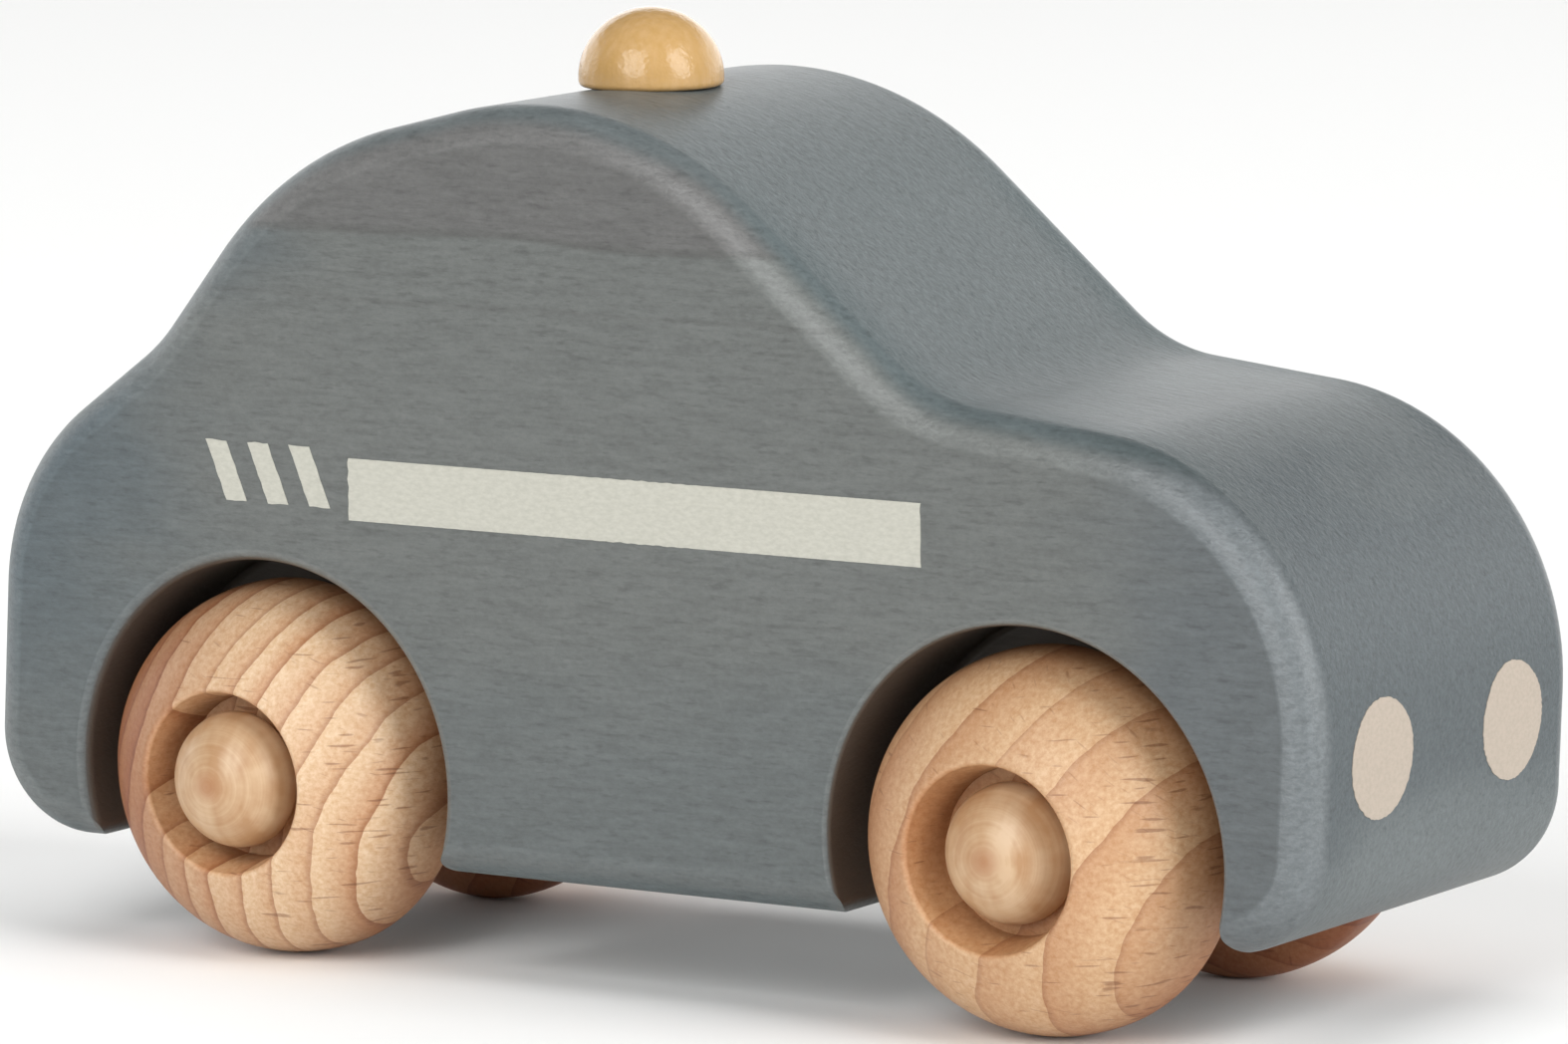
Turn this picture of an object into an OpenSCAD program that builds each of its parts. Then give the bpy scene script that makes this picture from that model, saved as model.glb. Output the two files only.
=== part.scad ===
// Toy police car: a shaped beech block on four domed wheels, each turning on its own headed peg.
// +X points to the nose, +Y to the car's left, +Z up, and the wheels stand on Z = 0.

/* [Body] */
// Length of the wooden block, tail to nose
body_l = 150; // [140:1:170]
// Width across the two flat sides
body_w = 50; // [46:0.5:60]
// Height from the underside to the crest of the roof
body_h = 74.4; // [68:0.2:82]
// Height of the underside above the ground
ground_gap = 10.5; // [8:0.5:13]
// Radius worked along both edges of the outline
edge_round = 3.7; // [2:0.1:4.5]
// Thickness of wood left between two facing wheel pockets
core_w = 21; // [18:0.5:24]

/* [Outline radii] */
// Foot of the tail
tail_foot_r = 10; // [7:0.5:13]
// Foot of the nose
nose_foot_r = 10.2; // [7:0.2:13]
// Nose, where the front turns into the bonnet
nose_r = 27; // [20:0.5:30]
// Hollow between bonnet and windscreen
screen_hollow_r = 17; // [12:0.5:24]
// Front of the roof
roof_front_r = 37.5; // [30:0.5:42]
// Back of the roof
roof_back_r = 36.6; // [30:0.2:42]
// Hollow between rear window and boot
boot_hollow_r = 20; // [14:0.5:30]
// Boot, where it turns down into the tail
boot_r = 23.6; // [16:0.2:28]

/* [Wheels] */
// Tail to rear axle
rear_overhang = 31.1; // [29:0.1:36]
// Nose to front axle
front_overhang = 32.2; // [30:0.1:37]
// Diameter of a wheel at its widest ring
wheel_d = 36.6; // [32:0.2:40]
// Thickness of a wheel from its inner face to its rim
wheel_w = 18.4; // [15:0.2:21]
// Inner face to the widest ring
wheel_belly = 5.1; // [4:0.1:7]
// Radius of the flat inner face
wheel_face_r = 12.3; // [9:0.1:14]
// Exponent of the dome: 2 is an ellipse, more is fuller
wheel_fullness = 2.3; // [2:0.05:2.8]
// Mouth radius of the recess round the peg head
recess_r = 8.8; // [8.2:0.1:10]
// Floor radius of that recess
recess_floor_r = 7.9; // [7.2:0.1:8.2]
// Depth of that recess
recess_depth = 6; // [4.5:0.1:7.5]
// Easing of the rim round the recess
rim_ease = 0.5; // [0.2:0.1:0.9]

/* [Wheel pockets] */
// Pocket radius over the wheel's
pocket_gap = 2.9; // [2:0.1:3.5]
// Rear pockets' centre ahead of their axle
rear_pocket_lead = 1.8; // [0:0.05:1.9]
// Front pockets' centre ahead of their axle
front_pocket_lead = 1.15; // [0:0.05:1.5]
// Easing of a pocket's mouth
mouth_ease = 0.8; // [0.2:0.1:1.2]

/* [Axle pegs] */
// Diameter of a peg's shank
shank_d = 6.4; // [5:0.1:8]
// Diameter of a peg's head
head_d = 13.3; // [11:0.1:14]
// Height of the head's dome
head_dome_h = 5.4; // [4:0.1:6.5]
// Straight edge under the dome
head_edge_h = 0.8; // [0.4:0.1:1.4]
// Extra stand-off of the rear pegs, which are driven in less
rear_peg_proud = 1.7; // [0:0.1:2]

/* [Roof light] */
// Roof light's axis, ahead of mid-length
light_x = -12.4; // [-18:0.2:-6]
// Diameter of the roof light
light_d = 14.1; // [11:0.1:17]
// Straight edge under its dome
light_edge_h = 0.85; // [0.75:0.05:2]
// Height of its dome
light_dome_h = 6.75; // [5:0.05:8]
// Radius round its foot
light_foot_r = 0.6; // [0.2:0.1:0.7]
// Depth of the level seat cut into the crest of the roof
seat_depth = 0.15; // [0.1:0.05:0.6]
// Diameter of the dowel that holds it
dowel_d = 6; // [4:0.1:7]
// Length of that dowel
dowel_l = 14; // [10:0.5:20]
// Part of the dowel that sits in the roof light
dowel_up = 4; // [3:0.1:5]

/* [Printed marks] */
// Thickness of the printed film
print_t = 0.1; // [0.05:0.01:0.2]
// Length of the side stripe
stripe_l = 64.5; // [50:0.5:70]
// Height of the side stripe
stripe_h = 6; // [4:0.1:8]
// Middle of the stripe, ahead of mid-length
stripe_x = 1.05; // [-2:0.05:4]
// Underside of the body to the lower edge of the stripe
stripe_rise = 33.8; // [32:0.1:36]
// Number of slanted dashes behind the stripe
dash_count = 3; // [2:1:3]
// Width of a dash along the car
dash_w = 2.4; // [1.5:0.1:3]
// Height of a dash
dash_h = 5.8; // [4:0.1:7]
// Spacing of the dashes
dash_pitch = 4.9; // [4:0.1:5.5]
// How far a dash's top leans to the tail
dash_lean = 2.35; // [0:0.05:3]
// Stripe to the first dash
dash_gap = 2.2; // [1:0.1:4]
// Lower edge of the dashes above the stripe's
dash_rise = 1; // [0:0.1:2]
// Diameter of a headlamp dot
lamp_d = 11.3; // [8:0.1:13]
// Side of the body to the middle of a dot
lamp_inset = 12.6; // [10:0.1:14]
// Underside of the body to the middle of a dot
lamp_rise = 17.5; // [15:0.1:20]

/* [Fits] */
// Running clearance of a wheel on its shank, on the radius
run_clear = 0.08; // [0.02:0.01:0.1]
// Glue line round pegs and dowel, on the radius
glue_line = 0.05; // [0.02:0.01:0.1]
// Play between a wheel and the wood on each side of it
wheel_play = 0.4; // [0.2:0.1:0.8]
// Gap between the inner ends of two facing pegs
peg_end_gap = 2; // [1:0.5:4]
// Clearance round the roof light in its seat, on the radius
seat_clear = 0.15; // [0.05:0.05:0.3]

/* [Hidden] */

// Sides of the car along Y
right = -1;
left = 1;
// Overrun of every cut
overrun = 1;
// Steps of a corner arc, of the worked edge and of a turned dome
arc_steps = 12;
edge_steps = 6;
dome_steps = 20;
round_fn = 96;
// End chamfer of pegs and dowel
end_ease = 0.6;

// Colours of the finishes
stain = "#6f7a80";
natural_beech = "#d2a878";
pale_wood = "#e6c9a2";
amber_paint = "#d9b072";
print_white = "#d3d2c6";

// Corners of the side outline, anticlockwise from the tail's foot, as shares of half the length and
// of the height over the underside
outline_shares = [
    [-1.008, 0], [0.988, 0], [1.016, 0.597], [0.430, 0.661],
    [-0.019, 1.048], [-0.529, 0.920], [-0.734, 0.664], [-0.980, 0.482]
];
corner_radii = [
    tail_foot_r, nose_foot_r, nose_r, screen_hollow_r,
    roof_front_r, roof_back_r, boot_hollow_r, boot_r
];
roof_front = 4;
roof_back = 5;
half_l = body_l/2;
half_w = body_w/2;
corners = [for (share = outline_shares) [share[0]*half_l, ground_gap + share[1]*body_h]];
corner_count = len(corners);

wheel_r = wheel_d/2;
axle_z = wheel_r;
rear_axle_x = rear_overhang - half_l;
front_axle_x = half_l - front_overhang;
rear_pocket_x = rear_axle_x + rear_pocket_lead;
front_pocket_x = front_axle_x + front_pocket_lead;
pocket_r = wheel_r + pocket_gap;
pocket_depth = half_w - core_w/2;
wheel_in_y = core_w/2 + wheel_play;
shank_r = shank_d/2;
head_r = head_d/2;
head_seat_y = wheel_in_y + wheel_w - recess_depth + wheel_play;
light_r = light_d/2;
dowel_r = dowel_d/2;

// Corner arcs of the outline
function at(list, i) = list[(i + len(list)) % len(list)];
function side_vector(i) = at(corners, i + 1) - at(corners, i);
function heading(i) = atan2(side_vector(i)[1], side_vector(i)[0]);
function turn(i) = (heading(i) - heading(i - 1) + 540) % 360 - 180;
function reach(i) = at(corner_radii, i)*tan(abs(turn(i))/2);
// Share of a corner's radius that its two sides have room for
function room_share(i) = min(
    1,
    norm(side_vector(i - 1))/(reach(i - 1) + reach(i)),
    norm(side_vector(i))/(reach(i) + reach(i + 1))
);
// Points of one corner, moved in from the outline by inset
function corner_arc(i, inset) =
    let (
        bend = sign(turn(i)),
        start = heading(i - 1),
        along = [cos(start), sin(start)],
        inward = [-sin(start), cos(start)],
        r = room_share(i)*at(corner_radii, i),
        centre = at(corners, i) - room_share(i)*reach(i)*along + bend*r*inward
    )
    [
        for (k = [0:arc_steps])
        let (a = start + turn(i)*k/arc_steps)
        centre + (bend*r - inset)*[sin(a), -cos(a)]
    ];
function outline(inset) = [for (i = [0:corner_count - 1]) each corner_arc(i, inset)];

// Roof height at the light's axis, and the level that its seat is cut to
roof_line = concat(corner_arc(roof_front, 0), corner_arc(roof_back, 0));
roof_z = lookup(light_x, roof_line);
seat_z = roof_z - seat_depth;

// Quarter of a superellipse from its widest ring to a smaller radius: points of radius and height
function dome_curve(wide_r, end_r, height, power) =
    let (
        end_angle = acos(pow(end_r/wide_r, power/2)),
        full_height = height/pow(sin(end_angle), 2/power)
    )
    [
        for (k = [0:dome_steps])
        let (a = end_angle*k/dome_steps)
        [wide_r*pow(cos(a), 2/power), full_height*pow(sin(a), 2/power)]
    ];

// Points of a round from one angle to another
function round_curve(centre, r, from, to) = [
    for (k = [0:dome_steps])
    let (a = from + (to - from)*k/dome_steps)
    centre + r*[cos(a), sin(a)]
];

// Puts a shape drawn along +Z on an axle, pointing out of one side of the car
module on_axle(axle_x, side, out_y) {
    translate([axle_x, side*out_y, axle_z])
        rotate([-90*side, 0, 0])
            children();
}

// The block: its outline carried across the width, drawn in towards both flat sides by a quarter round
module rounded_block() {
    quarter = [for (k = [0:edge_steps]) 90*k/edge_steps];
    ring_angles = concat([for (a = quarter) a - 90], quarter);
    shoulder = half_w - edge_round;
    ring_size = len(outline(0));
    ring_count = len(ring_angles);
    near_middle = ring_size*ring_count;
    far_middle = near_middle + 1;
    middle_z = ground_gap + body_h/4;
    last_ring = ring_size*(ring_count - 1);
    points = [
        for (j = [0:ring_count - 1])
        let (
            a = ring_angles[j],
            y = (j > edge_steps ? shoulder : -shoulder) + edge_round*sin(a)
        )
        for (p = outline(edge_round*(1 - cos(a)))) [p[0], y, p[1]]
    ];
    middles = [[0, -half_w, middle_z], [0, half_w, middle_z]];
    bands = [
        for (j = [0:ring_count - 2], k = [0:ring_size - 1])
        let (
            next = (k + 1) % ring_size,
            low = j*ring_size,
            high = low + ring_size
        )
        [low + k, low + next, high + next, high + k]
    ];
    near_side = [for (k = [0:ring_size - 1]) [near_middle, (k + 1) % ring_size, k]];
    far_side = [for (k = [0:ring_size - 1]) [far_middle, last_ring + k, last_ring + (k + 1) % ring_size]];
    polyhedron(points = concat(points, middles), faces = concat(bands, near_side, far_side));
}

// The outline as a plain slab, for films that lie on its rounded nose
module slab(grow) {
    rotate([90, 0, 0])
        linear_extrude(height = body_w, center = true)
            polygon(outline(-grow));
}

// Blind round pocket for one wheel, with an eased mouth
module wheel_pocket(pocket_x, side) {
    on_axle(pocket_x, side, core_w/2) {
        cylinder(h = pocket_depth + overrun, r = pocket_r, $fn = round_fn);
        translate([0, 0, pocket_depth - mouth_ease])
            cylinder(
                h = mouth_ease + overrun,
                r1 = pocket_r,
                r2 = pocket_r + mouth_ease + overrun,
                $fn = round_fn
            );
    }
}

// Peg hole drilled right through the core at one axle
module axle_hole(axle_x) {
    on_axle(axle_x, left, -half_w)
        cylinder(h = body_w, r = shank_r + glue_line, $fn = round_fn);
}

// Level seat in the crest of the roof, and the dowel's hole under it
module light_seat() {
    translate([light_x, 0, seat_z])
        cylinder(h = seat_depth + overrun, r = light_r + seat_clear, $fn = round_fn);
    translate([light_x, 0, seat_z - (dowel_l - dowel_up) - overrun])
        cylinder(h = dowel_l + overrun, r = dowel_r + glue_line, $fn = round_fn);
}

module body() {
    color(stain)
        difference() {
            rounded_block();
            for (axle_x = [rear_axle_x, front_axle_x])
                axle_hole(axle_x);
            for (pocket_x = [rear_pocket_x, front_pocket_x], side = [right, left])
                wheel_pocket(pocket_x, side);
            light_seat();
        }
}

// Domed light turned with a short straight edge, drilled from below for its dowel
module roof_light() {
    color(amber_paint)
        translate([light_x, 0, seat_z])
            difference() {
                rotate_extrude($fn = round_fn)
                    polygon(concat(
                        [[0, 0]],
                        round_curve([light_r - light_foot_r, light_foot_r], light_foot_r, -90, 0),
                        [
                            for (a = [0:90/dome_steps:90])
                            [light_r*cos(a), light_edge_h + light_dome_h*sin(a)]
                        ]
                    ));
                translate([0, 0, -overrun])
                    cylinder(h = dowel_up + overrun, r = dowel_r + glue_line, $fn = round_fn);
            }
}

// Dowel with chamfered ends, glued into the roof and the light
module roof_light_dowel() {
    color(natural_beech)
        translate([light_x, 0, seat_z - (dowel_l - dowel_up)])
            rotate_extrude($fn = round_fn)
                polygon([
                    [0, 0], [dowel_r - end_ease, 0], [dowel_r, end_ease],
                    [dowel_r, dowel_l - end_ease], [dowel_r - end_ease, dowel_l], [0, dowel_l]
                ]);
}

// Turned wheel: flat inner face, full dome outside, dished recess for the peg head, and a bore
module wheel(axle_x, side) {
    bore_r = shank_r + run_clear;
    floor_h = wheel_w - recess_depth;
    inner = dome_curve(wheel_r, wheel_face_r, wheel_belly, wheel_fullness);
    outer = dome_curve(wheel_r, recess_r + rim_ease, wheel_w - wheel_belly, wheel_fullness);
    color(natural_beech)
        on_axle(axle_x, side, wheel_in_y)
            rotate_extrude($fn = round_fn)
                polygon(concat(
                    [[bore_r, 0]],
                    [for (k = [dome_steps:-1:1]) [inner[k][0], wheel_belly - inner[k][1]]],
                    [for (p = outer) [p[0], wheel_belly + p[1]]],
                    [[recess_r, wheel_w - rim_ease], [recess_floor_r, floor_h], [bore_r, floor_h]]
                ));
}

// Headed peg: domed head in the wheel's recess, shank through the bore and glued in the core
module peg(axle_x, side, proud) {
    shank_l = head_seat_y + proud - peg_end_gap/2;
    dome_h = shank_l + head_edge_h;
    color(pale_wood)
        on_axle(axle_x, side, peg_end_gap/2)
            rotate_extrude($fn = round_fn)
                polygon(concat(
                    [[0, 0], [shank_r - end_ease, 0], [shank_r, end_ease]],
                    [[shank_r, shank_l], [head_r - end_ease, shank_l], [head_r, shank_l + end_ease]],
                    [
                        for (a = [0:90/dome_steps:90])
                        [head_r*cos(a), dome_h + head_dome_h*sin(a)]
                    ]
                ));
}

// Film of a shape drawn in X and Z, laid on one flat side of the body
module side_film(side) {
    translate([0, side*(half_w + print_t/2), ground_gap + stripe_rise])
        rotate([90, 0, 0])
            linear_extrude(height = print_t, center = true)
                children();
}

module stripe(side) {
    color(print_white)
        side_film(side)
            translate([stripe_x - stripe_l/2, 0])
                square([stripe_l, stripe_h]);
}

module dashes(side) {
    first_x = stripe_x - stripe_l/2 - dash_gap;
    color(print_white)
        side_film(side)
            for (k = [0:dash_count - 1])
                translate([first_x - k*dash_pitch, dash_rise])
                    polygon([[-dash_w, 0], [0, 0], [-dash_lean, dash_h], [-dash_lean - dash_w, dash_h]]);
}

// Round dot that follows the curve of the nose
module headlamp(side) {
    color(print_white)
        intersection() {
            difference() {
                slab(print_t);
                slab(0);
            }
            translate([front_axle_x, side*(half_w - lamp_inset), ground_gap + lamp_rise])
                rotate([0, 90, 0])
                    cylinder(h = front_overhang + overrun, r = lamp_d/2, $fn = round_fn);
        }
}

body();
roof_light();
roof_light_dowel();
wheel(front_axle_x, right);  // front_right_wheel
wheel(front_axle_x, left);  // front_left_wheel
wheel(rear_axle_x, right);  // rear_right_wheel
wheel(rear_axle_x, left);  // rear_left_wheel
peg(front_axle_x, right, 0);  // front_right_peg
peg(front_axle_x, left, 0);  // front_left_peg
peg(rear_axle_x, right, rear_peg_proud);  // rear_right_peg
peg(rear_axle_x, left, rear_peg_proud);  // rear_left_peg
stripe(right);  // right_stripe
stripe(left);  // left_stripe
dashes(right);  // right_dashes
dashes(left);  // left_dashes
headlamp(right);  // right_headlamp
headlamp(left);  // left_headlamp
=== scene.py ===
"""Looks of the wooden toy police car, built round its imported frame.

Lengths are in millimetres and become metres where a shape is put into its mesh. X points to the nose,
Z up, and the car's right side is at negative Y.
"""
import math

import bmesh
import bpy
import numpy as np
from mathutils import Matrix, Vector


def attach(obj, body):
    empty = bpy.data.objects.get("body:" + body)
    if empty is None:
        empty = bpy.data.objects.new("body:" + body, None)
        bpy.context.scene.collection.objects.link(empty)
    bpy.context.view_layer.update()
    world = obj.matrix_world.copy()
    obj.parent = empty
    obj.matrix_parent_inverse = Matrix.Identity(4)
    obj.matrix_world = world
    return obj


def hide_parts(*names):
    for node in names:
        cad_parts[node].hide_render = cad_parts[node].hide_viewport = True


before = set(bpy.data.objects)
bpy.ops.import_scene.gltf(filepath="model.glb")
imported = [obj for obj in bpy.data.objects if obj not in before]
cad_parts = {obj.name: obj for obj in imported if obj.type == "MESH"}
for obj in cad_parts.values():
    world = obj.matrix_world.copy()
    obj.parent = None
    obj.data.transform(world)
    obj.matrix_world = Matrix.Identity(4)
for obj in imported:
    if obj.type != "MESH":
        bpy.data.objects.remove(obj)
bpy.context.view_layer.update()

MM = 0.001

# Block
BODY_L = 150.0
BODY_W = 50.0
BODY_H = 74.4
GROUND_GAP = 10.5
EDGE_ROUND = 3.7
CORE_W = 21.0
HALF_L = BODY_L / 2
HALF_W = BODY_W / 2
OUTLINE_SHARES = np.array([
    [-1.008, 0], [0.988, 0], [1.016, 0.597], [0.430, 0.661],
    [-0.019, 1.048], [-0.529, 0.920], [-0.734, 0.664], [-0.980, 0.482],
])
CORNER_RADII = np.array([10.0, 10.2, 27.0, 17.0, 37.5, 36.6, 20.0, 23.6])
CORNERS = OUTLINE_SHARES * [HALF_L, BODY_H] + [0, GROUND_GAP]

# Wheels, pegs and their pockets
WHEEL_R = 18.3
WHEEL_W = 18.4
WHEEL_BELLY = 5.1
WHEEL_FACE_R = 12.3
WHEEL_FULLNESS = 2.3
RECESS_R = 8.8
RECESS_FLOOR_R = 7.9
RECESS_DEPTH = 6.0
RECESS_DISH = 1.6
RIM_EASE = 0.5
BORE_EASE = 0.3
WHEEL_PLAY = 0.4
RUN_CLEAR = 0.08
# Rings that divide the flat back of a wheel and the floor of its recess
BACK_RING_R = 8.0
FLOOR_RING_R = 5.0
AXLES = {"front": 42.8, "rear": -43.9}
SIDES = {"right": -1, "left": 1}
POCKET_R = 21.2
POCKETS = {"front": AXLES["front"] + 1.15, "rear": AXLES["rear"] + 1.8}
POCKET_DEPTH = HALF_W - CORE_W / 2
MOUTH_ROUND = {"front": 0.8, "rear": 1.4}
MOUTH_ROLL = 83
FLOOR_ROUND = 0.8
# Rounds of the pockets' lower corners, behind and ahead of each wheel, and the least that is left of one
CORNER_ROUNDS = {"front": (1.3, 2.8), "rear": (1.3, 1.3)}
LEAST_ROUND = 0.1
SHANK_R = 3.2
GLUE_LINE = 0.05
HEAD_R = 6.65
HEAD_DOME_H = 5.4
HEAD_EDGE_H = 0.8
HEAD_EASE = 0.6
PEG_END_GAP = 2.0
PEG_PROUD = {"front": 0.0, "rear": 1.7}
WHEEL_IN_Y = CORE_W / 2 + WHEEL_PLAY
HEAD_SEAT_Y = WHEEL_IN_Y + WHEEL_W - RECESS_DEPTH + WHEEL_PLAY
OVERRUN = 1.0

# Roof light
LIGHT_X = -12.4
LIGHT_R = 7.05
LIGHT_EDGE_H = 0.85
LIGHT_DOME_H = 6.75
LIGHT_FOOT_R = 0.6
SEAT_DEPTH = 0.15
SEAT_CLEAR = 0.15
DOWEL_R = 3.0
DOWEL_IN = 10.0
DOWEL_UP = 4.0

# Printed marks
FILM_PROUD = 0.06
FILM_SUNK = 0.02
STRIPE_L = 64.5
STRIPE_H = 6.0
STRIPE_X = 1.05
STRIPE_Z = GROUND_GAP + 33.8
DASH_COUNT = 3
DASH_W = 2.4
DASH_H = 5.8
DASH_PITCH = 4.9
DASH_LEAN = 2.35
DASH_GAP = 2.2
DASH_RISE = 1.0
LAMP_R = 5.65
LAMP_Y = HALF_W - 12.6
LAMP_Z = GROUND_GAP + 17.5
# Unsteadiness of a print's edge: its size, how many sine waves make it up, and the fewest and most turns of
# one, the most on a side as steps of the line to a turn
PRINT_WOBBLE = 0.05
WOBBLE_WAVES = 14
WOBBLE_LEAST = 3
LAMP_WOBBLE_MOST = 60
FILM_WOBBLE_STEPS = 3
PRINT_SEED = 7

# Steps of the meshes along their lines and curves, and two lengths in millimetres
ARC_STEPS = 40
EDGE_STEPS = 14
TURN_STEPS = 180
PEG_TURN_STEPS = 120
HOLE_TURN_STEPS = 64
BELLY_STEPS = 24
DOME_STEPS = 56
RIM_STEPS = 8
WALL_STEPS = 11
HEAD_STEPS = 36
POCKET_FOOT_STEPS = 6
MOUTH_STEPS = 12
CORNER_MOUTH_STEPS = 10
CORNER_STEPS = 16
LIGHT_FOOT_STEPS = 8
LIGHT_STEPS = 48
LAMP_STEPS = 160
LAMP_RINGS = 14
SIDE_STEP = 2.0
FILM_STEP = 0.4

# Points nearer than this are one, along the outline and in a pole (millimetres) and in a mesh (metres)
SAME_POINT = 0.01
POLE_SPREAD = 0.001
MERGE_M = 1e-7
SLIVER_M = 1e-8

# Edges that turn by more degrees than this stay sharp, and how far large faces lead the shading
BLOCK_CREASE = 38
TURNED_CREASE = 50
FILM_CREASE = 30
FLAT_WEIGHT = 80


# Shapes

def quarter(start, end, steps):
    """Angles from start to end, in degrees, as radians."""
    return np.radians(np.linspace(start, end, steps + 1))


def side_outline():
    """Points of the block's side outline in X and Z, with their outward directions.

    The outline runs anticlockwise through rounded corners. A corner of radius R that turns by an angle
    takes R times the tangent of half that angle from both of its sides. Its arc is its centre plus R
    times the outward direction, and the direction turns evenly along the arc. Straight sides between two
    arcs are divided evenly.
    """
    sides = np.roll(CORNERS, -1, axis=0) - CORNERS
    headings = np.arctan2(sides[:, 1], sides[:, 0])
    before = np.roll(headings, 1)
    turns = (headings - before + 3 * np.pi) % (2 * np.pi) - np.pi
    bends = np.sign(turns)
    reach = CORNER_RADII * np.tan(np.abs(turns) / 2)
    along = np.stack([np.cos(before), np.sin(before)], axis=1)
    inward = np.stack([-np.sin(before), np.cos(before)], axis=1)
    signed_r = (bends * CORNER_RADII)[:, None]
    centres = CORNERS - reach[:, None] * along + signed_r * inward
    share = np.linspace(0, 1, ARC_STEPS + 1)
    angles = before[:, None] + turns[:, None] * share
    outward = np.stack([np.sin(angles), -np.cos(angles)], axis=2)
    arcs = centres[:, None, :] + signed_r[:, None, :] * outward
    points, ways = [], []
    for k in range(len(CORNERS)):
        points.append(arcs[k])
        ways.append(outward[k])
        end, start = arcs[k][-1], arcs[(k + 1) % len(CORNERS)][0]
        count = max(int(np.linalg.norm(start - end) / SIDE_STEP), 1)
        inner = np.linspace(0, 1, count + 1)[1:-1, None]
        points.append(end + (start - end) * inner)
        ways.append(np.repeat(outward[k][-1:], len(inner), axis=0))
    points = np.concatenate(points)
    ways = np.concatenate(ways)
    kept = np.linalg.norm(points - np.roll(points, 1, axis=0), axis=1) > SAME_POINT
    return points[kept], ways[kept]


OUTLINE, OUTLINE_WAY = side_outline()
# The roof is where the outline looks well upwards, the nose where it looks forwards near the front
LOOKS_UP = OUTLINE_WAY[:, 1] > 0.5
LOOKS_AHEAD = (OUTLINE_WAY[:, 0] > 0.2) & (OUTLINE[:, 0] > HALF_L * 0.8)


def block_grid():
    """Rings of the block, from its right side to its left.

    Ring by ring the outline moves in by the edge round times one minus the cosine of an angle, and out
    across the width by the edge round times its sine, from minus 90 to 90 degrees.
    """
    angles = np.concatenate([quarter(-90, 0, EDGE_STEPS), quarter(0, 90, EDGE_STEPS)])
    shoulder = np.repeat([-1.0, 1.0], EDGE_STEPS + 1) * (HALF_W - EDGE_ROUND)
    inset = EDGE_ROUND * (1 - np.cos(angles))
    flat = OUTLINE[None] - inset[:, None, None] * OUTLINE_WAY[None]
    across = np.broadcast_to((shoulder + EDGE_ROUND * np.sin(angles))[:, None], flat.shape[:2])
    return np.stack([flat[..., 0], across, flat[..., 1]], axis=2)


def turned_grid(profile, steps=TURN_STEPS):
    """Turned shape: each profile point (radius, height) swept round the upright axis."""
    profile = np.asarray(profile, float)
    angle = np.linspace(0, 2 * np.pi, steps, endpoint=False)
    ring = np.stack([np.cos(angle), np.sin(angle)], axis=1)
    flat = profile[:, 0][:, None, None] * ring[None]
    high = np.broadcast_to(profile[:, 1][:, None, None], (len(profile), steps, 1))
    return np.concatenate([flat, high], axis=2)


def on_axle(grid, axle_x, side):
    """Lays a turned shape on an axle: its height points out of that side of the car."""
    return np.stack([axle_x + grid[..., 0], side * grid[..., 2], WHEEL_R + grid[..., 1]], axis=-1)


def dome(wide_r, end_r, height, steps):
    """Quarter of a superellipse, as radius and height.

    Radius is the widest radius times the cosine of an angle to the power of two over the fullness, and
    height goes with its sine likewise, up to the ring of the end radius.
    """
    end = math.acos((end_r / wide_r) ** (WHEEL_FULLNESS / 2))
    full = height / math.sin(end) ** (2 / WHEEL_FULLNESS)
    angle = np.linspace(0, end, steps + 1)
    radius = wide_r * np.cos(angle) ** (2 / WHEEL_FULLNESS)
    return np.stack([radius, full * np.sin(angle) ** (2 / WHEEL_FULLNESS)], axis=1)


def arc(centre, radius, start, end, steps):
    """Points of a round about a centre, from one angle in degrees to another."""
    angle = quarter(start, end, steps)
    return np.asarray(centre) + radius * np.stack([np.cos(angle), np.sin(angle)], axis=1)


def wheel_profile():
    """Section of a wheel: bore, flat back, belly, dome, eased rim, dished recess and its floor.

    The recess narrows from its mouth to its floor by one minus a power of the share of depth that is left.
    """
    bore = SHANK_R + RUN_CLEAR
    floor = WHEEL_W - RECESS_DEPTH
    rim_r = RECESS_R + RIM_EASE
    rim_h = WHEEL_W - RIM_EASE
    belly = dome(WHEEL_R, WHEEL_FACE_R, WHEEL_BELLY, BELLY_STEPS)[::-1] * [1, -1] + [0, WHEEL_BELLY]
    outer = dome(WHEEL_R, rim_r, WHEEL_W - WHEEL_BELLY, DOME_STEPS) + [0, WHEEL_BELLY]
    rim = arc((rim_r, rim_h), RIM_EASE, 90, 180, RIM_STEPS)[1:]
    depth = np.linspace(0, 1, WALL_STEPS + 1)[1:, None]
    dish = 1 - (1 - depth) ** RECESS_DISH
    wall_r = RECESS_R + (RECESS_FLOOR_R - RECESS_R) * dish
    wall = np.concatenate([wall_r, rim_h - (RECESS_DEPTH - RIM_EASE) * depth], axis=1)
    back = [[bore, floor], [bore, BORE_EASE], [bore + BORE_EASE, 0], [BACK_RING_R, 0]]
    return np.concatenate([back, belly, outer[1:], rim, wall, [[FLOOR_RING_R, floor]]])


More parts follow.
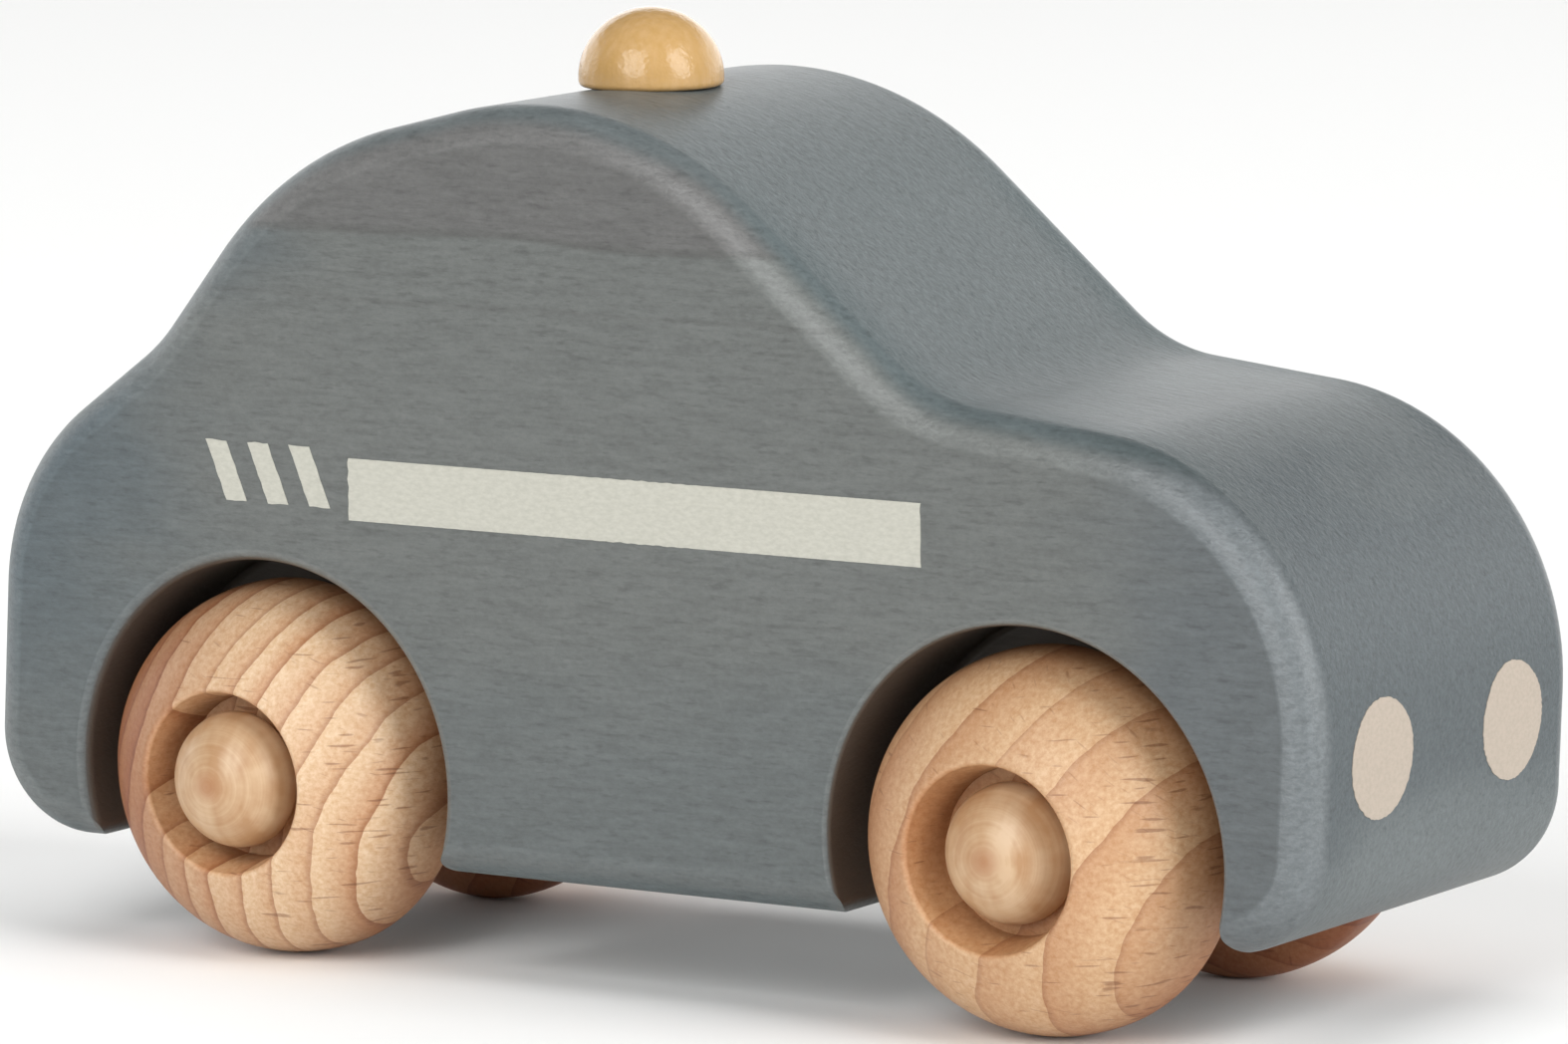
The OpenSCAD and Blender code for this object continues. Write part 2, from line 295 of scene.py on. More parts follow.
def peg_profile(proud):
    """Section of a peg: chamfered shank, the head's back and edge, and a dome that is half an ellipse."""
    shank_l = HEAD_SEAT_Y + proud - PEG_END_GAP / 2
    base = shank_l + HEAD_EDGE_H
    angle = quarter(0, 90, HEAD_STEPS)
    crown = np.stack([HEAD_R * np.cos(angle), base + HEAD_DOME_H * np.sin(angle)], axis=1)
    foot = [[0, 0], [SHANK_R - HEAD_EASE, 0], [SHANK_R, HEAD_EASE], [SHANK_R, shank_l]]
    back = [[HEAD_R - HEAD_EASE, shank_l], [HEAD_R, shank_l + HEAD_EASE]]
    return np.concatenate([foot, back, crown]) + [0, PEG_END_GAP / 2]


def pocket_profile(mouth_r):
    """Section of a wheel pocket's cut: floor, rounded foot, wall, and a mouth that rolls outwards."""
    mouth_at = (POCKET_R + mouth_r, POCKET_DEPTH - mouth_r)
    over = POCKET_DEPTH + OVERRUN
    foot = arc((POCKET_R - FLOOR_ROUND, FLOOR_ROUND), FLOOR_ROUND, -90, 0, POCKET_FOOT_STEPS)
    mouth = arc(mouth_at, mouth_r, 180, 180 - MOUTH_ROLL, MOUTH_STEPS)
    top = [[POCKET_R + mouth_r, over], [0, over]]
    return np.concatenate([[[0, 0], [POCKET_R / 2, 0]], foot, mouth, top]) + [0, CORE_W / 2]


def corner_cut_grid(pocket_x, way, corner_r, mouth_r, side):
    """Cut that rounds one lower corner of a pocket, ahead of the wheel or behind it.

    The round's centre lies its radius over the underside, and the pocket's radius plus its own from the
    pocket's axis. Its arc turns from straight down to the pocket's axis. Towards the side of the car it
    shrinks about its centre as the pocket's mouth rolls outwards. The cut closes inside the pocket and
    below the underside.
    """
    roll = quarter(0, MOUTH_ROLL, CORNER_MOUTH_STEPS)
    rolled_y = HALF_W + mouth_r * (np.sin(roll) - 1)
    out = np.concatenate([[CORE_W / 2 + FLOOR_ROUND], rolled_y, [HALF_W + OVERRUN]])
    widen = np.concatenate([[0], mouth_r * (1 - np.cos(roll)), mouth_r * (1 - np.cos(roll[-1:]))])
    radius = np.maximum(corner_r - widen, LEAST_ROUND)
    drop = WHEEL_R - GROUND_GAP - corner_r
    ahead = math.sqrt((POCKET_R + corner_r) ** 2 - drop ** 2)
    to_axis = math.atan2(drop, -ahead)
    angle = np.linspace(1.5 * np.pi, to_axis, CORNER_STEPS + 1)
    along = ahead + radius[:, None] * np.cos(angle)
    high = GROUND_GAP + corner_r + radius[:, None] * np.sin(angle)
    inside = along[:, -1:] - 2 * OVERRUN
    closing = np.concatenate([inside, inside, np.full_like(inside, ahead)], axis=1)
    low = np.full_like(inside, GROUND_GAP - OVERRUN)
    along = np.concatenate([along, closing], axis=1)
    high = np.concatenate([high, high[:, -1:] + OVERRUN, low, low], axis=1)
    across = np.broadcast_to(side * out[:, None], along.shape)
    return np.stack([pocket_x + way * along, across, high], axis=2)


def roof_light_profile(seat_z):
    """Section of the roof light: dowel hole, flat foot, small foot round, short straight edge, and a dome
    that is half an ellipse."""
    hole = DOWEL_R + GLUE_LINE
    foot = arc((LIGHT_R - LIGHT_FOOT_R, LIGHT_FOOT_R), LIGHT_FOOT_R, -90, 0, LIGHT_FOOT_STEPS)
    angle = quarter(0, 90, LIGHT_STEPS)
    crown = np.stack([LIGHT_R * np.cos(angle), LIGHT_EDGE_H + LIGHT_DOME_H * np.sin(angle)], axis=1)
    return np.concatenate([[[0, DOWEL_UP], [hole, DOWEL_UP], [hole, 0]], foot, crown]) + [0, seat_z]


def seat_level():
    """Level of the roof light's seat: a little under the roof at the light's axis."""
    roof = OUTLINE[LOOKS_UP]
    roof = roof[np.argsort(roof[:, 0])]
    return np.interp(LIGHT_X, roof[:, 0], roof[:, 1]) - SEAT_DEPTH


def nose_x(z):
    """Place of the nose along X at a height, read off the side outline."""
    front = OUTLINE[LOOKS_AHEAD]
    front = front[np.argsort(front[:, 1])]
    return np.interp(z, front[:, 1], front[:, 0])


def soft_noise(count, most, draw):
    """Smooth unsteadiness round a closed line: a sum of sine waves with drawn turns, starts and heights."""
    place_round = np.linspace(0, 2 * np.pi, count, endpoint=False)[:, None]
    turns = draw.integers(WOBBLE_LEAST, most, WOBBLE_WAVES)
    start = draw.uniform(0, 2 * np.pi, WOBBLE_WAVES)
    height = draw.normal(0, 1, WOBBLE_WAVES) / WOBBLE_WAVES ** 0.5
    return np.sum(height * np.sin(place_round * turns + start), axis=1)


def ring_of(corners, step):
    """Closed line through straight-sided corners, divided about every step."""
    corners = np.asarray(corners, float)
    pieces = []
    for start, end in zip(corners, np.roll(corners, -1, axis=0)):
        count = max(int(np.linalg.norm(end - start) / step), 2)
        pieces.append(start + (end - start) * np.linspace(0, 1, count, endpoint=False)[:, None])
    return np.concatenate(pieces)


def side_film_grid(corners, side, draw):
    """Thin film on a flat side: a closed line with an unsteady edge, drawn in to its middle in front
    and behind. Rows run from the back's middle over the rim to the front's middle."""
    line = ring_of(corners, FILM_STEP)
    middle = line.mean(axis=0)
    unsteady = PRINT_WOBBLE * soft_noise(len(line), len(line) // FILM_WOBBLE_STEPS, draw)
    way = line - middle
    way = way / np.linalg.norm(way, axis=1)[:, None]
    line = line + way * unsteady[:, None]
    shares = np.array([0, 0.5, 1, 1, 0.5, 0])
    depths = np.repeat([-FILM_SUNK, FILM_PROUD], 3)
    flat = middle + (line - middle)[None] * shares[:, None, None]
    across = np.broadcast_to((side * (HALF_W + depths))[:, None], flat.shape[:2])
    return np.stack([flat[..., 0], across, flat[..., 1]], axis=2)


def lamp_grid(side, draw):
    """Round dot on the nose: rings about its middle, laid on the nose's curve in front and behind."""
    angle = np.linspace(0, 2 * np.pi, LAMP_STEPS, endpoint=False)
    radius = LAMP_R + PRINT_WOBBLE * soft_noise(len(angle), LAMP_WOBBLE_MOST, draw)
    shares = np.concatenate([np.linspace(0, 1, LAMP_RINGS), np.linspace(1, 0, LAMP_RINGS)])
    lift = np.repeat([-FILM_SUNK, FILM_PROUD], LAMP_RINGS)
    reach = shares[:, None] * radius[None]
    y = side * LAMP_Y + reach * np.cos(angle)
    z = LAMP_Z + reach * np.sin(angle)
    return np.stack([nose_x(z) + lift[:, None], y, z], axis=2)


def mesh_of(name, grids, caps=False):
    """Mesh of one or more grids whose columns close on themselves. Rows end in a pole, or in a flat cap,
    or the last row joins the first where the section is a closed line round its axis."""
    points, faces, first = [], [], 0
    for grid in grids:
        rows, columns = grid.shape[:2]
        index = first + np.arange(rows * columns).reshape(rows, columns)
        index = np.concatenate([index, index[:, :1]], axis=1)
        if not caps and np.ptp(grid[0], axis=0).max() > POLE_SPREAD:
            index = np.concatenate([index, index[:1]], axis=0)
        quads = np.stack([index[:-1, :-1], index[:-1, 1:], index[1:, 1:], index[1:, :-1]], axis=2)
        faces += quads.reshape(-1, 4).tolist()
        if caps:
            faces += [index[0, :-1].tolist(), index[-1, :-1].tolist()]
        points.append(grid.reshape(-1, 3))
        first += rows * columns
    mesh = bpy.data.meshes.new(name)
    mesh.from_pydata((np.concatenate(points) * MM).tolist(), [], faces)
    work = bmesh.new()
    work.from_mesh(mesh)
    bmesh.ops.remove_doubles(work, verts=work.verts, dist=MERGE_M)
    bmesh.ops.dissolve_degenerate(work, edges=work.edges, dist=SLIVER_M)
    bmesh.ops.recalc_face_normals(work, faces=work.faces)
    work.to_mesh(mesh)
    work.free()
    mesh.shade_smooth()
    return mesh


def thing(name, mesh):
    """Object with that mesh, lens or lamp, in the scene."""
    made = bpy.data.objects.new(name, mesh)
    bpy.context.scene.collection.objects.link(made)
    return made


def settle_shading(piece, angle):
    """Smooth shading that breaks at edges sharper than an angle, with flat faces kept flat."""
    piece.data.shade_smooth()
    piece.data.set_sharp_from_angle(angle=math.radians(angle))
    weigh = piece.modifiers.new("flat_faces_first", "WEIGHTED_NORMAL")
    weigh.keep_sharp = True
    weigh.weight = FLAT_WEIGHT


def place(piece, body, node, material):
    """Gives a piece its material and its body, and hides the CAD node that it stands for."""
    piece.data.materials.clear()
    piece.data.materials.append(material)
    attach(piece, body)
    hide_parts(node)


def cut_block():
    """The block with its four pockets, two peg holes and the light's seat cut out of it."""
    block = thing("stained_block", mesh_of("stained_block", [block_grid()], caps=True))
    pockets, rounds = [], []
    for end, pocket_x in POCKETS.items():
        mouth_r = MOUTH_ROUND[end]
        pocket = turned_grid(pocket_profile(mouth_r))
        behind_r, ahead_r = CORNER_ROUNDS[end]
        for side in SIDES.values():
            pockets.append(on_axle(pocket, pocket_x, side))
            rounds.append(corner_cut_grid(pocket_x, -1, behind_r, mouth_r, side))
            rounds.append(corner_cut_grid(pocket_x, 1, ahead_r, mouth_r, side))
    hole_l = CORE_W / 2 + OVERRUN
    hole_r = SHANK_R + GLUE_LINE
    hole = turned_grid([[0, -hole_l], [hole_r, -hole_l], [hole_r, hole_l], [0, hole_l]], HOLE_TURN_STEPS)
    seat_z = seat_level()
    dowel_r = DOWEL_R + GLUE_LINE
    seat_r = LIGHT_R + SEAT_CLEAR
    bottom, top = seat_z - DOWEL_IN - OVERRUN, GROUND_GAP + BODY_H + OVERRUN
    seat = turned_grid([
        [0, bottom], [dowel_r, bottom], [dowel_r, seat_z], [seat_r, seat_z], [seat_r, top], [0, top],
    ])
    holes = [on_axle(hole, x, 1) for x in AXLES.values()] + [seat + [LIGHT_X, 0, 0]]
    cutters = [
        thing("pocket_cut", mesh_of("pocket_cut", pockets)),
        thing("corner_cut", mesh_of("corner_cut", rounds, caps=True)),
        thing("hole_cut", mesh_of("hole_cut", holes)),
    ]
    for cutter in cutters:
        cut = block.modifiers.new(cutter.name, "BOOLEAN")
        cut.operation = "DIFFERENCE"
        cut.solver = "EXACT"
        cut.object = cutter
    seen = block.evaluated_get(bpy.context.evaluated_depsgraph_get())
    mesh = bpy.data.meshes.new_from_object(seen)
    block.modifiers.clear()
    block.data = mesh
    for cutter in cutters:
        bpy.data.objects.remove(cutter)
    mark_stain_wear_and_light(mesh)
    settle_shading(block, BLOCK_CREASE)
    return block


# Where the block takes the side's stain, and where its edge rounds are paler: partly stain that wore thin,
# partly a painted highlight. Reaches are turns across the edge round, 0 degrees on the flat side and 90 on
# the tops, and fades lie about them. Places are where a change starts and is full
SIDE_REACH = 30
NOSE_REACH = 42
SCREEN_REACH = 16
STAIN_FADE = (-5, 25)
WEAR_HIGHLIGHT_START = (0, 7)
WEAR_HIGHLIGHT_FADE = (-8, 16)
NOSE_X = (52, 66)
SCREEN_X = (0, 10)
SCREEN_Z = (56, 64)
FOOT_Z = (11, 17)
# How much more painted highlight the paler edge gets at the nose
NOSE_PAINTED_HIGHLIGHT = 0.6
# A pocket's rolled mouth in shares of its round: how far out it takes the side's stain, where it is paler,
# partly from wear and partly as a painted highlight, how strongly, and how far out it still takes the
# wall's painted shade, from a little off the wall
MOUTH_STAINED = 1.05
MOUTH_WEAR_HIGHLIGHT_SPAN = (0.25, 0.8)
MOUTH_WEAR_HIGHLIGHT = 0.7
MOUTH_DARK = 0.4
OFF_WALL = 0.02


def smooth_step(value, start, full):
    """Rises from 0 at start to 1 at full, level at both ends."""
    share = np.clip((value - start) / (full - start), 0, 1)
    return share * share * (3 - 2 * share)


def mark_stain_wear_and_light(mesh):
    """Attributes of the block: side_face, wear_and_highlight_edge and pocket, each 0 where there is none of
    it.

    The share of the edge round that lies inside a point is the cosine of its turn. The side's stain fades
    out over the round and the paler edge lies next to the side, both reaching further round at the nose
    and beside the windscreen. The paler edge is partly stain that wore thin and partly a painted highlight;
    it is strongest at the nose, where more painted highlight is added, and fades out along the underside.
    The rolled mouths of the pockets are paler too, likewise wear and painted highlight. A face belongs to a
    pocket when its middle lies within the pocket's radius, less and less over its mouth, and such a face
    takes the painted shade of the pocket walls.
    """
    points = np.empty(len(mesh.vertices) * 3, np.float32)
    mesh.vertices.foreach_get("co", points)
    x, y, z = points.reshape(-1, 3).T / MM
    share = np.clip((np.abs(y) - HALF_W + EDGE_ROUND) / EDGE_ROUND, 0, 1)
    turn = np.degrees(np.arccos(share))
    at_nose = smooth_step(x, *NOSE_X)
    at_screen = smooth_step(x, *SCREEN_X) * smooth_step(z, *SCREEN_Z)
    past_reach = turn - (SIDE_REACH + NOSE_REACH * at_nose + SCREEN_REACH * at_screen)
    side_face = 1 - smooth_step(past_reach, *STAIN_FADE)
    # Paler edge: partly stain that wore thin, partly a painted highlight, with more painted highlight at
    # the nose
    wear_and_highlight = smooth_step(turn, *WEAR_HIGHLIGHT_START) * (1 - smooth_step(past_reach, *WEAR_HIGHLIGHT_FADE))
    wear_and_highlight *= (1 + NOSE_PAINTED_HIGHLIGHT * at_nose) * smooth_step(z, *FOOT_Z)
    middles = np.empty(len(mesh.polygons) * 3, np.float32)
    mesh.polygons.foreach_get("center", middles)
    face_x, face_y, face_z = middles.reshape(-1, 3).T / MM
    in_side = np.abs(face_y) > CORE_W / 2 - OVERRUN
    pocket = np.zeros(len(mesh.polygons))
    for end, pocket_x in POCKETS.items():
        reach = (np.hypot(x - pocket_x, z - WHEEL_R) - POCKET_R) / MOUTH_ROUND[end]
        near = reach < MOUTH_STAINED
        side_face[near] = 1
        wear_and_highlight[near] = 0
        # The mouth's round is paler: wear and a painted highlight
        wear_and_highlight[(reach > MOUTH_WEAR_HIGHLIGHT_SPAN[0]) & (reach < MOUTH_WEAR_HIGHLIGHT_SPAN[1])] = MOUTH_WEAR_HIGHLIGHT
        # Faces inside a pocket, and just over its mouth, carry the pocket walls' painted shade
        off_wall = np.hypot(face_x - pocket_x, face_z - WHEEL_R) - POCKET_R
        within = 1 - smooth_step(off_wall, OFF_WALL, MOUTH_ROUND[end] * MOUTH_DARK)
        pocket = np.maximum(pocket, within * in_side)
    marks = (
        ("side_face", "POINT", side_face),
        ("wear_and_highlight_edge", "POINT", wear_and_highlight),
        ("pocket", "FACE", pocket),
    )
    for name, kind, mark in marks:
        made = mesh.attributes.new(name, "FLOAT", kind)
        made.data.foreach_set("value", np.asarray(mark, np.float32))


# Materials

# Colour inputs of a Mix node
MIX_A, MIX_B = 6, 7
# Wood lacquer, paint, ink and card alike
FINISH_IOR = 1.5


def linear(code):
    """An sRGB hex colour as linear red, green, blue and alpha."""
    share = np.array([int(code[k:k + 2], 16) for k in (1, 3, 5)]) / 255
    bright = np.where(share <= 0.04045, share / 12.92, ((share + 0.055) / 1.055) ** 2.4)
    return (*bright.tolist(), 1.0)


def cells(x, y, z):
    """Scale that gives a pattern one cell for so many millimetres along each axis."""
    return (1 / (x * MM), 1 / (y * MM), 1 / (z * MM))


def node(tree, kind, inputs={}, **settings):
    """Adds a node with its settings, and links or sets its inputs. A node given as an input stands for its
    first output in use."""
    made = tree.nodes.new("ShaderNode" + kind)
    for name, value in settings.items():
        setattr(made, name, value)
    for key, value in inputs.items():
        if isinstance(value, bpy.types.Node):
            value = next(socket for socket in value.outputs if socket.enabled)
        if isinstance(value, bpy.types.NodeSocket):
            tree.links.new(value, made.inputs[key])
        else:
            made.inputs[key].default_value = value
    return made


def new_material(name):
    """An empty material, its node tree and its object coordinates."""
    material = bpy.data.materials.new(name)
    material.use_nodes = True
    material.node_tree.nodes.clear()
    coords = node(material.node_tree, "TexCoord").outputs["Object"]
    return material, material.node_tree, coords


def give_surface(material, inputs):
    """Ends a material with a Principled shader that has these inputs."""
    shader = node(material.node_tree, "BsdfPrincipled", {"IOR": FINISH_IOR, **inputs})
    node(material.node_tree, "OutputMaterial", {"Surface": shader})
    return material


# Drifts of the colour: along which axis, where each starts and is full in millimetres, and its tone. Two of
# the tops' drifts are painted shade and painted light
SIDE_STAIN = "#626563"
SIDE_DRIFTS = (
    ("X", -34, -64, "#50595d"),
    ("Z", 42, 18, "#5b6060"),
    ("Z", 71.6, 73.0, "#5e5e5d"),
    ("X", 40, 60, "#585d5f"),
)
TOP_STAIN = "#666d6e"
TOP_DRIFTS_AND_PAINTED_LIGHT = (
    # Painted shade: the bonnet's crest darker, in place of less reflection there
    ("X", 40, 54, "#5a6162"),
    ("X", 56, 68, "#4c5457"),
    # Painted light: the foot of the nose paler, as from light thrown up off the floor
    ("Z", 26, 14, "#62696a"),
)
# How far drifts and growth lines wander along X, Y and Z. A drift shorter than this follows the lines
DRIFT_WANDER = (50, 0, 26)
LINE_WANDER = (0, 0, 2.5)
SHORT_DRIFT = 5
# Painted shade that the tops take beside their edges, over their own tone, off the middle, behind the nose
# and below the crest, each from where it starts to where it is full
EDGE_SHADE_TONE = "#f1f6f7"
EDGE_SHADE_Y = (15, 22)
EDGE_SHADE_X = (68, 56)
EDGE_SHADE_Z = (81, 72)
# Painted shade of the pocket walls, darker and browner than the side's stain, with warm light thrown back
# by the wheels, and a little darker towards the mouth
POCKET_SHADE_TONE = "#5c544c"
POCKET_MOUTH_SHADE_TONE = "#564e46"
POCKET_MOUTH_Y = (16, 22)
# Growth lines on the sides: height, half its thickness and strength
GROWTH_LINES = ((72.2, 0.7, 0.34), (65.6, 0.5, 0.15))
GROWTH_TONE = "#3d3a38"
# Shine of the lacquer on the tops, beside their edges and on the sides
TOP_SHINE = 0.3
EDGE_SHINE = 0.15
SIDE_SHINE = 0.5
# Patterns of the stained block: size along X, Y and Z in millimetres, detail and roughness
BLOCK_PATTERNS = {
    "wander": ((34, 34, 15), 3.0, 0.5),
    "speckle": ((0.7, 0.45, 0.4), 3.0, 0.65),
    "fibre": ((4.5, 0.7, 0.55), 4.0, 0.5),
    "fleck": ((1.9, 0.8, 0.42), 2.0, 0.5),
    "nap": ((0.9, 0.55, 0.45), 4.0, 0.7),
}
BLOCK_RELIEF = 0.12


def stained_beech():
    """Sawn and sanded beech, stained blue-grey and sealed with a thin satin lacquer. It shows a fine
    speckle of pores, dense short ray flecks along X, a growth line or two, slow drifts between blue and
    brown, and a nap of raised fibres on the paler edges that breaks up the shine. The paler edges are
    partly stain that wore thin and partly a painted highlight, more of it at the nose. Painted shade
    darkens the tops beside their edges and the bonnet's crest, painted light makes the foot of the nose
    paler, and the pocket walls take a darker, browner painted shade."""
    material, tree, coords = new_material("stained_beech_sanded")
    noise = {}
    for pattern, (size, detail, roughness) in BLOCK_PATTERNS.items():
        at = node(tree, "Mapping", {"Vector": coords, "Scale": cells(*size)})
        noise[pattern] = node(tree, "TexNoise", {
            "Vector": at, "Scale": 1.0, "Detail": detail, "Roughness": roughness,
        })
    wander = node(tree, "VectorMath", {
        0: noise["wander"].outputs["Color"], 1: (0.5, 0.5, 0.5),
    }, operation="SUBTRACT")
    moved = []
    for reach in (DRIFT_WANDER, LINE_WANDER):
        shifted = node(tree, "VectorMath", {
            0: wander, 1: Vector(reach) * MM, 2: coords,
        }, operation="MULTIPLY_ADD")
        moved.append(node(tree, "SeparateXYZ", {0: shifted}).outputs)
    places, levels = moved
    grounds = []
    for stain, drifts in ((TOP_STAIN, TOP_DRIFTS_AND_PAINTED_LIGHT), (SIDE_STAIN, SIDE_DRIFTS)):
        ground = linear(stain)
        for axis, begin, full, tone in drifts:
            short = abs(full - begin) < SHORT_DRIFT
            share = node(tree, "MapRange", {
                "Value": (levels if short else places)[axis],
                "From Min": begin * MM, "From Max": full * MM,
            }, interpolation_type="SMOOTHSTEP")
            ground = node(tree, "Mix", {0: share, MIX_A: ground, MIX_B: linear(tone)}, data_type="RGBA")
        grounds.append(ground)
    side_face, wear_and_highlight, pocket = [
        node(tree, "Attribute", attribute_name=mark).outputs["Fac"]
        for mark in ("side_face", "wear_and_highlight_edge", "pocket")
    ]
    here = node(tree, "SeparateXYZ", {0: coords}).outputs
    off_middle = node(tree, "Math", {0: here["Y"]}, operation="ABSOLUTE")
    by_edge, by_nose, by_crest, by_mouth = [
        node(tree, "MapRange", {
            "Value": along, "From Min": begin * MM, "From Max": full * MM,
        }, interpolation_type="SMOOTHSTEP")
        for along, (begin, full) in (
            (off_middle, EDGE_SHADE_Y), (here["X"], EDGE_SHADE_X), (here["Z"], EDGE_SHADE_Z),
            (off_middle, POCKET_MOUTH_Y),
        )
    ]
    behind_nose = node(tree, "Math", {0: by_edge, 1: by_nose}, operation="MULTIPLY")
    shade = node(tree, "Math", {0: behind_nose, 1: by_crest}, operation="MULTIPLY")
    # Painted shade on the tops beside their edges
    tops = node(tree, "Mix", {
        0: shade, MIX_A: grounds[0], MIX_B: linear(EDGE_SHADE_TONE),
    }, data_type="RGBA", blend_type="MULTIPLY")
    colour = node(tree, "Mix", {0: side_face, MIX_A: tops, MIX_B: grounds[1]}, data_type="RGBA")
    top_shine = node(tree, "MapRange", {"Value": shade, "To Min": TOP_SHINE, "To Max": EDGE_SHINE})
    shine = node(tree, "MapRange", {"Value": side_face, "To Min": top_shine, "To Max": SIDE_SHINE})
    for height, half, strength in GROWTH_LINES:
        off = node(tree, "Math", {0: levels["Z"], 1: height * MM}, operation="SUBTRACT")
        off = node(tree, "Math", {0: off}, operation="ABSOLUTE")
        line = node(tree, "MapRange", {
            "Value": off, "From Min": 0.0, "From Max": half * MM, "To Min": strength, "To Max": 0.0,
        }, interpolation_type="SMOOTHSTEP")
        on_side = node(tree, "Math", {0: line, 1: side_face}, operation="MULTIPLY")
        colour = node(tree, "Mix", {
            0: on_side, MIX_A: colour, MIX_B: linear(GROWTH_TONE),
        }, data_type="RGBA")
    fleck = node(tree, "MapRange", {
        "Value": noise["fleck"], "From Min": 0.54, "From Max": 0.72, "To Min": 1.0, "To Max": 0.82,
    }, interpolation_type="SMOOTHSTEP")
    grain = node(tree, "Math", {0: noise["speckle"], 1: noise["fibre"]}, operation="ADD")
    grain_tone = node(tree, "MapRange", {
        "Value": grain, "From Min": 0.6, "From Max": 1.4, "To Min": 0.8, "To Max": 1.24,
    })
    tone = node(tree, "Math", {0: grain_tone, 1: fleck}, operation="MULTIPLY")
    # Raised fibres lighten the paler edge in specks, partly as a painted highlight
    nap_and_highlight = node(tree, "MapRange", {
        "Value": noise["nap"], "From Min": 0.38, "From Max": 0.68, "To Min": 0.17, "To Max": 0.4,
    }, interpolation_type="SMOOTHSTEP")
    wear_and_highlight_tone = node(tree, "Math", {0: wear_and_highlight, 1: nap_and_highlight, 2: tone}, operation="MULTIPLY_ADD")
    toned = node(tree, "VectorMath", {0: colour, "Scale": wear_and_highlight_tone}, operation="SCALE")
    # Painted shade on the pocket walls, darker towards the mouth
    pocket_wall_shade = node(tree, "Mix", {
        0: by_mouth, MIX_A: linear(POCKET_SHADE_TONE), MIX_B: linear(POCKET_MOUTH_SHADE_TONE),
    }, data_type="RGBA")
    stained = node(tree, "Mix", {0: pocket, MIX_A: toned, MIX_B: pocket_wall_shade}, data_type="RGBA")
    nap_share = node(tree, "MapRange", {"Value": wear_and_highlight, "To Min": 0.5, "To Max": 1.8})
    nap_height = node(tree, "Math", {0: noise["nap"], 1: nap_share}, operation="MULTIPLY")
    relief = node(tree, "Math", {0: grain, 1: nap_height}, operation="ADD")
    bump = node(tree, "Bump", {"Height": relief, "Strength": 0.4, "Distance": BLOCK_RELIEF * MM})
    return give_surface(material, {
        "Base Color": stained, "Roughness": 0.4, "Specular IOR Level": shine, "Normal": bump,
    })


# Noises that move the rings of the wheels, each with its size and its reach in millimetres: by place in the
# wood, slow and fine, and by distance from the pith
RING_DRIFT = ((12, 30, 12), 2.4)
RING_SHIVER = ((2.6, 9, 2.6), 0.45)
RING_UNEVEN = ((7, 30, 30), 2.4)
RING_LINE = 0.6
RAY_L = 3.2
RAY_W = 0.3
RAY_H = 2.4
WHEEL_FLECK = (3.4, 3.4, 0.34)
WHEEL_PORE = (0.5, 0.9, 0.5)
WHEEL_RELIEF = 0.15
# Flecks grow commoner along X, and the painted shade on the tread, next to the car, starts and is full this
# far off the car's middle
FLECKED_X = (-8, 14)
TREAD_Y = (25, 14)
# How far inside its edge the recess takes its painted shade, and the share of the heartwood side's tone,
# partly painted shade, that it keeps
RECESS_INSET = 0.1
RECESS_HEART_AND_SHADE = 0.25
# How far apart in the noises the woods lie, by their number, and their rings and rays
WOOD_APART = (0.37, 0.11, 0.23)
RAYS_APART = (7.3, 3.1, 5.7)
RINGS_APART = 0.618
UNEVEN_APART = 0.5
BEECH_DARK = "#c8a27a"
BEECH_PALE = "#ddc2a2"
RING_TONE = "#d3a888"
RING_LINE_TONE = "#a87c5c"
# Painted shade on the tread next to the car and in the recess
TREAD_SHADE_TONE = "#dcbba3"
RECESS_SHADE_TONE = "#f8e8d8"
RAY_TONE = "#a07a5e"
WHEEL_FLECK_TONE = "#9c7760"
AS_IT_IS = "#ffffff"


